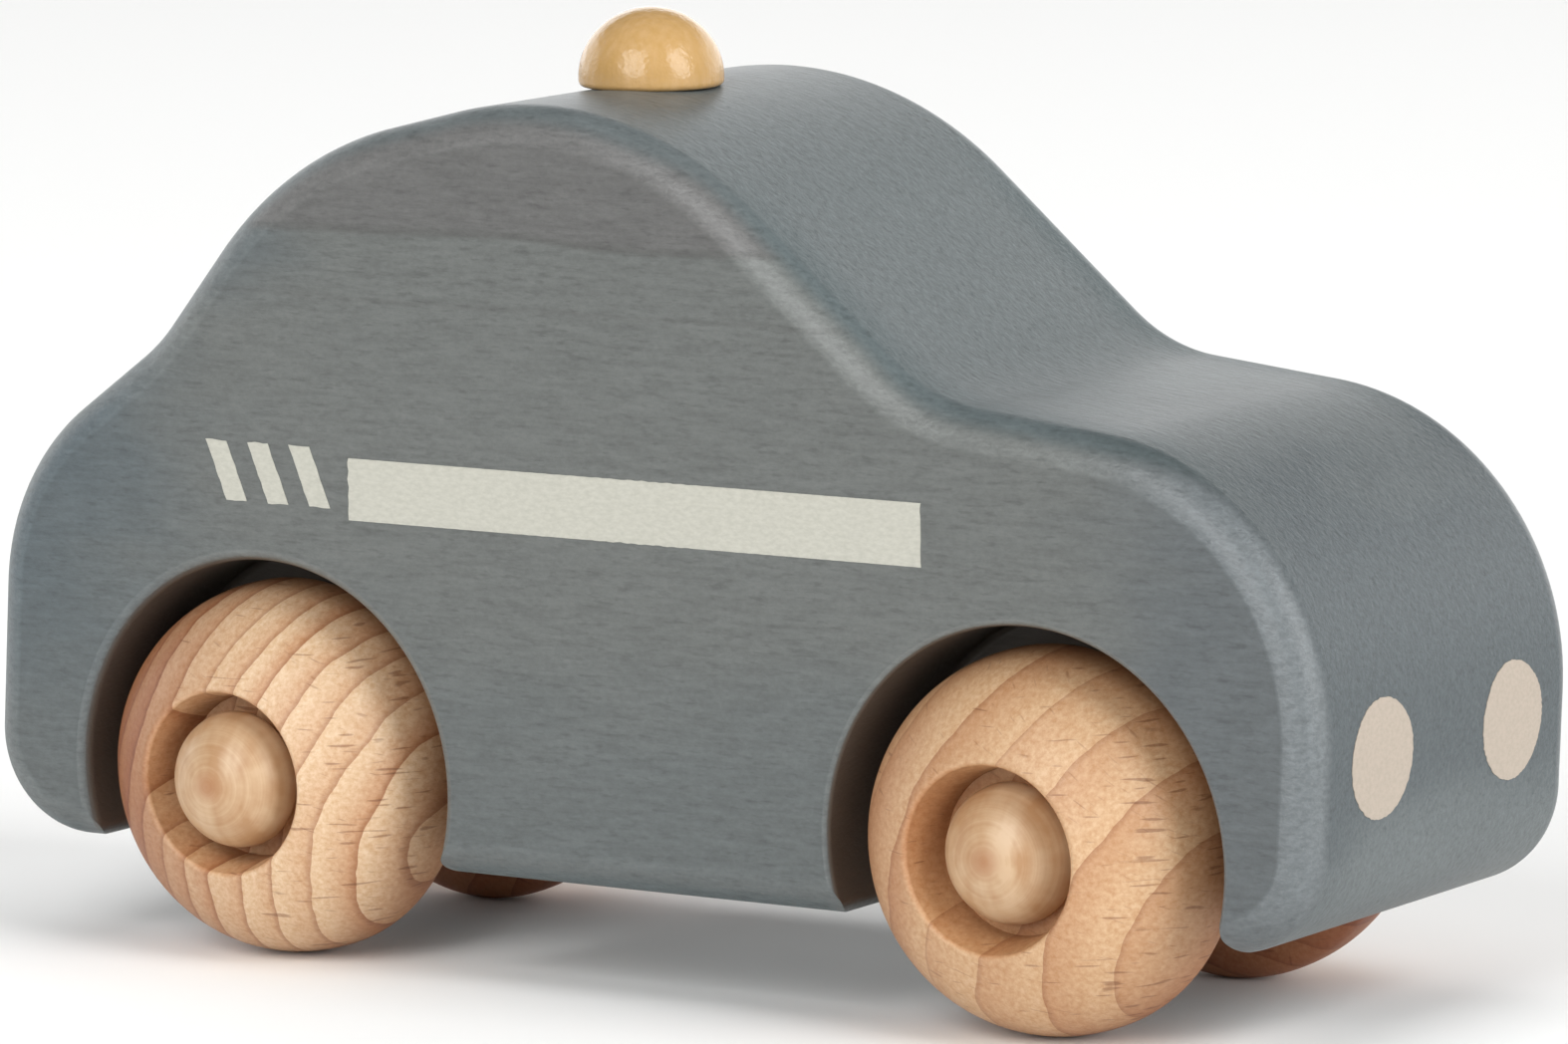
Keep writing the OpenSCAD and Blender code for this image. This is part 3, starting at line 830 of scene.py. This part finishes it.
def turned_beech(name, axle_x, pith, spacing, dark_first, seed, heart_and_shade, whole_tone=AS_IT_IS, strength=1.0):
    """Natural beech turned with the fibre along the axle and sealed thinly. It shows unsteady growth rings
    that darken slowly and end in a sharp line, short dark rays, granular pores, a darker heartwood side
    that is partly painted shade, painted shade in the recess and on the tread next to the car, and one tone
    over the whole wheel, which on the left wheels is painted shade.

    The ring number is the distance from the pith over the ring spacing, moved by slow noises, and rays lie
    at even angles round the pith.
    """
    material, tree, coords = new_material(name)
    from_pith, from_axle = [
        node(tree, "VectorMath", {
            0: coords, 1: Vector((axle_x + off_x, 0, WHEEL_R + off_z)) * MM,
        }, operation="SUBTRACT")
        for off_x, off_z in (pith, (0, 0))
    ]
    distance, radius = [
        node(tree, "VectorMath", {
            0: node(tree, "VectorMath", {0: away, 1: (1, 0, 1)}, operation="MULTIPLY"),
        }, operation="LENGTH")
        for away in (from_pith, from_axle)
    ]
    parts = node(tree, "SeparateXYZ", {0: from_pith}).outputs
    along = node(tree, "SeparateXYZ", {0: from_axle}).outputs
    bearing = node(tree, "Math", {0: parts["Z"], 1: parts["X"]}, operation="ARCTAN2")
    own = node(tree, "VectorMath", {0: coords, 1: [seed * far for far in WOOD_APART]}, operation="ADD")
    ring = node(tree, "Math", {
        0: distance, 1: 1 / (spacing * MM), 2: seed * RINGS_APART,
    }, operation="MULTIPLY_ADD")
    by_distance = node(tree, "CombineXYZ", {0: distance, 1: seed * UNEVEN_APART})
    for source, (size, reach) in ((own, RING_DRIFT), (own, RING_SHIVER), (by_distance, RING_UNEVEN)):
        unsteady_at = node(tree, "Mapping", {"Vector": source, "Scale": cells(*size)})
        unsteady = node(tree, "TexNoise", {"Vector": unsteady_at, "Scale": 1.0, "Detail": 2.0})
        ring = node(tree, "Math", {0: unsteady, 1: reach / spacing, 2: ring}, operation="MULTIPLY_ADD")
    share = node(tree, "Math", {0: ring}, operation="FRACT")
    number = node(tree, "Math", {0: ring}, operation="FLOOR")
    chance = node(tree, "TexWhiteNoise", {"W": number}, noise_dimensions="1D")
    if dark_first:
        share = node(tree, "Math", {0: 1.0, 1: share}, operation="SUBTRACT")
    deep = node(tree, "MapRange", {
        "Value": chance, "To Min": 0.35 * strength, "To Max": 0.85 * strength,
    })
    band = node(tree, "MapRange", {
        "Value": share, "From Min": 0.2, "From Max": 1.0, "To Min": 0.0, "To Max": deep,
    })
    line = node(tree, "MapRange", {
        "Value": share, "From Min": 1 - RING_LINE / spacing, "From Max": 1.0,
        "To Min": 0.0, "To Max": 0.4 * strength,
    }, interpolation_type="SMOOTHSTEP")
    off_middle = node(tree, "Math", {0: parts["Y"]}, operation="ABSOLUTE")
    heart_and_shade_start, heart_and_shade_full, heart_and_shade_tone = heart_and_shade
    tread, recess, heart_and_shade_side = [
        node(tree, "MapRange", {
            "Value": off, "From Min": begin * MM, "From Max": full * MM,
        }, interpolation_type="SMOOTHSTEP")
        for off, begin, full in (
            (off_middle, *TREAD_Y),
            (radius, RECESS_R + RIM_EASE, RECESS_R - RECESS_INSET),
            (along["X"], heart_and_shade_start, heart_and_shade_full),
        )
    ]
    ray_place = node(tree, "CombineXYZ", {0: distance, 1: bearing, 2: parts["Y"]})
    ray_at = node(tree, "Mapping", {
        "Vector": ray_place, "Location": [seed * far for far in RAYS_APART],
        "Scale": (1 / (RAY_L * MM), math.hypot(*pith) / RAY_W, 1 / (RAY_H * MM)),
    })
    ray_noise = node(tree, "TexNoise", {"Vector": ray_at, "Scale": 1.0, "Detail": 1.0})
    ray = node(tree, "MapRange", {
        "Value": ray_noise, "From Min": 0.68, "From Max": 0.8, "To Min": 0.0, "To Max": 0.4,
    }, interpolation_type="SMOOTHSTEP")
    fleck_at = node(tree, "Mapping", {"Vector": own, "Scale": cells(*WHEEL_FLECK)})
    fleck_noise = node(tree, "TexNoise", {"Vector": fleck_at, "Scale": 1.0, "Detail": 0.0})
    commoner = node(tree, "MapRange", {
        "Value": along["X"], "From Min": FLECKED_X[0] * MM, "From Max": FLECKED_X[1] * MM,
        "To Min": -0.06, "To Max": 0.06 - 0.03 * strength,
    })
    fleck_level = node(tree, "Math", {0: fleck_noise, 1: commoner}, operation="ADD")
    fleck = node(tree, "MapRange", {
        "Value": fleck_level, "From Min": 0.72, "From Max": 0.82, "To Min": 0.0, "To Max": 0.55,
    }, interpolation_type="SMOOTHSTEP")
    pore_at = node(tree, "Mapping", {"Vector": own, "Scale": cells(*WHEEL_PORE)})
    pore = node(tree, "TexNoise", {"Vector": pore_at, "Scale": 1.0, "Detail": 4.0, "Roughness": 0.7})
    speckle = node(tree, "MapRange", {"Value": pore, "From Min": 0.32, "From Max": 0.66})
    colour = node(tree, "Mix", {
        0: speckle, MIX_A: linear(BEECH_DARK), MIX_B: linear(BEECH_PALE),
    }, data_type="RGBA")
    outside = node(tree, "MapRange", {"Value": recess, "To Min": 1.0, "To Max": RECESS_HEART_AND_SHADE})
    heart_and_shade_share = node(tree, "Math", {0: heart_and_shade_side, 1: outside}, operation="MULTIPLY")
    # The heartwood side's tone is partly painted shade, the tread's and the recess's tones are painted
    # shade, and the whole tone is painted shade on the left wheels
    for share_of, tone in (
        (band, RING_TONE), (line, RING_LINE_TONE), (heart_and_shade_share, heart_and_shade_tone), (tread, TREAD_SHADE_TONE),
        (recess, RECESS_SHADE_TONE), (ray, RAY_TONE), (fleck, WHEEL_FLECK_TONE), (1.0, whole_tone),
    ):
        colour = node(tree, "Mix", {
            0: share_of, MIX_A: colour, MIX_B: linear(tone),
        }, data_type="RGBA", blend_type="MULTIPLY")
    bump = node(tree, "Bump", {"Height": pore, "Strength": 0.4, "Distance": WHEEL_RELIEF * MM})
    return give_surface(material, {"Base Color": colour, "Roughness": 0.5, "Normal": bump})


# Peg wood: its darker tip, its patterns' sizes in millimetres and how far the growth bands lean
PEG_TIP_R = 2.4
PEG_RING = (0.4, 1, 1)
PEG_BAND = (2.2, 30, 14)
PEG_BLOTCH = (2.6, 5, 2.6)
PEG_BAND_LEAN = math.radians(52)
PEG_RELIEF = 0.08
PEG_DARK = "#b08861"
PEG_PALE = "#c8aa88"
PEG_TIP = "#a5714b"


def peg_wood(name, axle_x, seed):
    """Pale close-grained wood turned on a lathe. It shows faint turning rings round the tip, a darker tip
    and soft diagonal growth bands."""
    material, tree, coords = new_material(name)
    from_axle = node(tree, "VectorMath", {
        0: coords, 1: Vector((axle_x, 0, WHEEL_R)) * MM,
    }, operation="SUBTRACT")
    flat = node(tree, "VectorMath", {0: from_axle, 1: (1, 0, 1)}, operation="MULTIPLY")
    distance = node(tree, "VectorMath", {0: flat}, operation="LENGTH")
    from_tip = node(tree, "CombineXYZ", {0: distance})
    rings, bands, blotch = [
        node(tree, "TexNoise", {
            "Vector": node(tree, "Mapping", {
                "Vector": source, "Location": apart, "Rotation": (0, lean, 0), "Scale": cells(*size),
            }), "Scale": 1.0, "Detail": detail,
        })
        for source, apart, lean, size, detail in (
            (from_tip, (seed, 0, 0), 0, PEG_RING, 3.0),
            (from_axle, (seed * 3, 0, 0), PEG_BAND_LEAN, PEG_BAND, 2.0),
            (from_axle, (0, seed, 0), 0, PEG_BLOTCH, 4.0),
        )
    ]
    soft = node(tree, "Math", {0: rings, 1: 0.7, 2: blotch}, operation="MULTIPLY_ADD")
    both = node(tree, "Math", {0: soft, 1: bands}, operation="ADD")
    tone = node(tree, "MapRange", {"Value": both, "From Min": 1.1, "From Max": 1.6})
    pale = node(tree, "Mix", {0: tone, MIX_A: linear(PEG_DARK), MIX_B: linear(PEG_PALE)}, data_type="RGBA")
    tip = node(tree, "MapRange", {
        "Value": distance, "From Min": 0.0, "From Max": PEG_TIP_R * MM, "To Min": 0.75, "To Max": 0.0,
    }, interpolation_type="SMOOTHSTEP")
    tipped = node(tree, "Mix", {0: tip, MIX_A: pale, MIX_B: linear(PEG_TIP)}, data_type="RGBA")
    bump = node(tree, "Bump", {"Height": rings, "Strength": 0.25, "Distance": PEG_RELIEF * MM})
    return give_surface(material, {"Base Color": tipped, "Roughness": 0.42, "Normal": bump})


AMBER_FULL = "#be9860"
AMBER_THIN = "#c5a06e"
AMBER_PEEL = (0.8, 0.8, 0.9)
AMBER_STREAK = (0.7, 0.7, 6)
AMBER_RELIEF = 0.16


def amber_paint():
    """Satin amber paint brushed on turned wood. The grain below it breaks up the shine and shows as faint
    upright streaks, and the paint is a little paler where it lies thin."""
    material, tree, coords = new_material("satin_paint_amber")
    peel_at = node(tree, "Mapping", {"Vector": coords, "Scale": cells(*AMBER_PEEL)})
    peel = node(tree, "TexNoise", {"Vector": peel_at, "Scale": 1.0, "Detail": 2.0, "Roughness": 0.6})
    streak_at = node(tree, "Mapping", {"Vector": coords, "Scale": cells(*AMBER_STREAK)})
    streak = node(tree, "TexNoise", {"Vector": streak_at, "Scale": 1.0, "Detail": 3.0})
    thin = node(tree, "MapRange", {"Value": streak, "From Min": 0.3, "From Max": 0.7})
    colour = node(tree, "Mix", {
        0: thin, MIX_A: linear(AMBER_FULL), MIX_B: linear(AMBER_THIN),
    }, data_type="RGBA")
    bump = node(tree, "Bump", {"Height": peel, "Strength": 0.55, "Distance": AMBER_RELIEF * MM})
    return give_surface(material, {
        "Base Color": colour, "Roughness": 0.2, "Specular IOR Level": 0.4, "Normal": bump,
    })


INK_SPECKLE = (0.8, 0.5, 0.4)
INK_RELIEF = 0.06


def print_ink(name, thin, full):
    """Matt white ink printed on wood. The pores below show through as a fine speckle."""
    material, tree, coords = new_material(name)
    pore_at = node(tree, "Mapping", {"Vector": coords, "Scale": cells(*INK_SPECKLE)})
    pore = node(tree, "TexNoise", {"Vector": pore_at, "Scale": 1.0, "Detail": 3.0, "Roughness": 0.65})
    tone = node(tree, "MapRange", {"Value": pore, "From Min": 0.35, "From Max": 0.65})
    colour = node(tree, "Mix", {0: tone, MIX_A: linear(thin), MIX_B: linear(full)}, data_type="RGBA")
    bump = node(tree, "Bump", {"Height": pore, "Strength": 0.3, "Distance": INK_RELIEF * MM})
    return give_surface(material, {"Base Color": colour, "Roughness": 0.62, "Normal": bump})


def white_sweep():
    """Smooth white card under the car."""
    return give_surface(new_material("card_white")[0], {
        "Base Color": linear("#f4f4f3"), "Roughness": 0.9, "Specular IOR Level": 0.1,
    })


# Pieces

place(cut_block(), "car", "body", stained_beech())

light_grid = turned_grid(roof_light_profile(seat_level())) + [LIGHT_X, 0, 0]
roof_light = thing("amber_roof_light", mesh_of("amber_roof_light", [light_grid]))
settle_shading(roof_light, TURNED_CREASE)
place(roof_light, "car", "roof_light", amber_paint())

# Wood of each wheel: its pith from the axle in X and Z, ring spacing, whether a ring starts dark, its
# darker heartwood side along X with that side's tone, which is partly painted shade, the tone of the whole,
# and how strong its rings are. The left wheels' darker, redder tone of the whole is painted shade, as they
# lie under the car
GRAIN = {
    "rear_right": ((155, -56), 3.1, True, (4, -16, "#b78969"), AS_IT_IS, 1.0),
    "front_right": ((58, -28), 6.0, False, (-4, -18, "#e6d2c6"), "#eee4d9", 0.7),
    "rear_left": ((-70, 44), 4.1, True, (2, 16, "#c39a88"), "#e0cdc4", 0.8),
    "front_left": ((40, 62), 3.3, False, (6, 18, "#d3b5a6"), "#e0cdc4", 0.8),
}
for number, (corner, looks) in enumerate(GRAIN.items(), start=1):
    end, hand = corner.split("_")
    axle_x, side = AXLES[end], SIDES[hand]
    pith, spacing, dark_first, *tones = looks
    wood = turned_beech(f"turned_beech_{corner}", axle_x, pith, spacing, dark_first, number, *tones)
    wheel_grid = on_axle(turned_grid(wheel_profile() + [0, WHEEL_IN_Y]), axle_x, side)
    wheel = thing(f"{corner}_turned_wheel", mesh_of(f"{corner}_turned_wheel", [wheel_grid]))
    settle_shading(wheel, TURNED_CREASE)
    place(wheel, f"{corner}_roller", f"{corner}_wheel", wood)
    peg_grid = on_axle(turned_grid(peg_profile(PEG_PROUD[end]), PEG_TURN_STEPS), axle_x, side)
    peg = thing(f"{corner}_turned_peg", mesh_of(f"{corner}_turned_peg", [peg_grid]))
    settle_shading(peg, TURNED_CREASE)
    place(peg, "car", f"{corner}_peg", peg_wood(f"turned_peg_{corner}", axle_x, number))

stripe_ink = print_ink("screen_print_white", "#b2b1a6", "#bdbcb1")
lamp_ink = print_ink("screen_print_cream", "#aca092", "#b5a89a")
draw = np.random.default_rng(PRINT_SEED)
stripe_left, stripe_right = STRIPE_X - STRIPE_L / 2, STRIPE_X + STRIPE_L / 2
stripe = [
    [stripe_left, STRIPE_Z], [stripe_right, STRIPE_Z],
    [stripe_right, STRIPE_Z + STRIPE_H], [stripe_left, STRIPE_Z + STRIPE_H],
]
dash = np.array([[-DASH_W, 0], [0, 0], [-DASH_LEAN, DASH_H], [-DASH_LEAN - DASH_W, DASH_H]])
dash_start = np.array([stripe_left - DASH_GAP, STRIPE_Z + DASH_RISE])
dashes = [dash + dash_start - [k * DASH_PITCH, 0] for k in range(DASH_COUNT)]
for hand, side in SIDES.items():
    marks = {
        "stripe": [side_film_grid(stripe, side, draw)],
        "dashes": [side_film_grid(d, side, draw) for d in dashes],
        "headlamp": [lamp_grid(side, draw)],
    }
    for mark, grids in marks.items():
        film = thing(f"{hand}_printed_{mark}", mesh_of(f"{hand}_printed_{mark}", grids))
        settle_shading(film, FILM_CREASE)
        place(film, "car", f"{hand}_{mark}", lamp_ink if mark == "headlamp" else stripe_ink)

# Wood of the light's dowel, as for a wheel, with its number
DOWEL_GRAIN = ((20, 30), 2.0, True, 6, (2, 3, "#e6d2c6"))
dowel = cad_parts["roof_light_dowel"].data
dowel.materials.clear()
dowel.materials.append(turned_beech("turned_beech_dowel", LIGHT_X, *DOWEL_GRAIN))

# Stage, light and camera

AZIMUTH = math.radians(32.761)
ELEVATION = math.radians(8.165)
ROLL = math.radians(-0.615)
CAMERA_AWAY = 943.5
LOOK_AT = Vector((2.243, 0, 43.255)) * MM
SENSOR = 36.0
FOCAL_SHARE = 9854.5 / 1574
NEAREST_SEEN = 0.05
FARTHEST_SEEN = 50.0

back = Vector((
    math.sin(AZIMUTH) * math.cos(ELEVATION),
    -math.cos(AZIMUTH) * math.cos(ELEVATION),
    math.sin(ELEVATION),
))
level = Vector((math.cos(AZIMUTH), math.sin(AZIMUTH), 0))
upright = back.cross(level)
to_right = math.cos(ROLL) * level + math.sin(ROLL) * upright
to_top = -math.sin(ROLL) * level + math.cos(ROLL) * upright


def aim(item, at, axes):
    """Stands a camera or light at a place, with its own right, up and back directions."""
    turn = Matrix(axes).transposed().to_4x4()
    item.matrix_world = Matrix.Translation(at) @ turn


lens = bpy.data.cameras.new("photo_camera")
lens.sensor_fit = "HORIZONTAL"
lens.sensor_width = SENSOR
lens.lens = SENSOR * FOCAL_SHARE
lens.clip_start = NEAREST_SEEN
lens.clip_end = FARTHEST_SEEN
camera = thing("photo_camera", lens)
aim(camera, LOOK_AT + back * CAMERA_AWAY * MM, (to_right, to_top, back))
bpy.context.scene.camera = camera

# Two upright soft boxes beside the camera: way to each in shares to the right, up and back, and brightness
SOFT_AWAY = 6.0
SOFT_WIDE = 3.44
SOFT_TALL = 4.73
SOFT_LIGHTS = {
    "soft_box_left": ((-0.44, 0.36, 0.82), 0.82),
    "soft_box_right": ((0.70, 0.36, 0.62), 0.87),
}
for name, (way, bright) in SOFT_LIGHTS.items():
    lamp = bpy.data.lights.new(name, "AREA")
    lamp.shape = "RECTANGLE"
    lamp.size = SOFT_WIDE
    lamp.size_y = SOFT_TALL
    lamp.energy = bright * (math.pi * SOFT_AWAY) ** 2
    lit = thing(name, lamp)
    out = (way[0] * level + way[1] * upright + way[2] * back).normalized()
    beside = Vector((0, 0, 1)).cross(out).normalized()
    aim(lit, LOOK_AT + out * SOFT_AWAY, (beside, out.cross(beside), out))
    lit.visible_camera = False

# White backdrop behind the car, dark above it, and dim walls behind the camera. The backdrop comes in with
# the share of a direction that points behind the car, and goes with the share that points up
WALL_NEAR = 0.07
WALL_FAR = 2.1
WALL_BEHIND = (0.0, 0.5)
WALL_UP = (0.56, 0.36)
walls = bpy.data.worlds.new("white_studio")
walls.use_nodes = True
wall_tree = walls.node_tree
wall_tree.nodes.clear()
wall_way = node(wall_tree, "TexCoord").outputs["Generated"]
behind = Vector((-back.x, -back.y, 0)).normalized()
wall_side = node(wall_tree, "VectorMath", {0: wall_way, 1: behind}, operation="DOT_PRODUCT")
wall_share = node(wall_tree, "MapRange", {
    "Value": wall_side, "From Min": WALL_BEHIND[0], "From Max": WALL_BEHIND[1],
}, interpolation_type="SMOOTHSTEP")
wall_height = node(wall_tree, "SeparateXYZ", {0: wall_way}).outputs["Z"]
wall_low = node(wall_tree, "MapRange", {
    "Value": wall_height, "From Min": WALL_UP[0], "From Max": WALL_UP[1],
}, interpolation_type="SMOOTHSTEP")
backdrop = node(wall_tree, "Math", {0: wall_share, 1: wall_low}, operation="MULTIPLY")
wall_bright = node(wall_tree, "MapRange", {"Value": backdrop, "To Min": WALL_NEAR, "To Max": WALL_FAR})
wall = node(wall_tree, "Background", {"Color": linear("#ffffff"), "Strength": wall_bright})
node(wall_tree, "OutputWorld", {"Surface": wall})
bpy.context.scene.world = walls
bpy.context.scene.view_settings.view_transform = "Standard"

FLOOR_HALF = 6000.0
FLOOR_POINTS = 3
floor_line = np.linspace(-FLOOR_HALF, FLOOR_HALF, FLOOR_POINTS)
floor_x, floor_y = np.meshgrid(floor_line, floor_line)
floor_points = np.stack([floor_x, floor_y, np.zeros_like(floor_x)], axis=2).reshape(-1, 3) * MM
floor_index = np.arange(FLOOR_POINTS ** 2).reshape(FLOOR_POINTS, FLOOR_POINTS)
floor_quads = np.stack([
    floor_index[:-1, :-1], floor_index[:-1, 1:], floor_index[1:, 1:], floor_index[1:, :-1],
], axis=2).reshape(-1, 4)
floor_mesh = bpy.data.meshes.new("floor")
floor_mesh.from_pydata(floor_points.tolist(), [], floor_quads.tolist())
floor_mesh.materials.append(white_sweep())
floor = thing("floor", floor_mesh)

# Light from above that falls on the card alone and keeps it white
WASH_AWAY = 4.0
WASH_SIZE = 4.0
WASH_BRIGHT = 0.4
wash = bpy.data.lights.new("floor_wash", "AREA")
wash.shape = "SQUARE"
wash.size = WASH_SIZE
wash.energy = WASH_BRIGHT * (math.pi * WASH_AWAY) ** 2
washing = thing("floor_wash", wash)
washing.location = (0, 0, WASH_AWAY)
washing.visible_camera = False
card_only = bpy.data.collections.new("card_only")
card_only.objects.link(floor)
washing.light_linking.receiver_collection = card_only
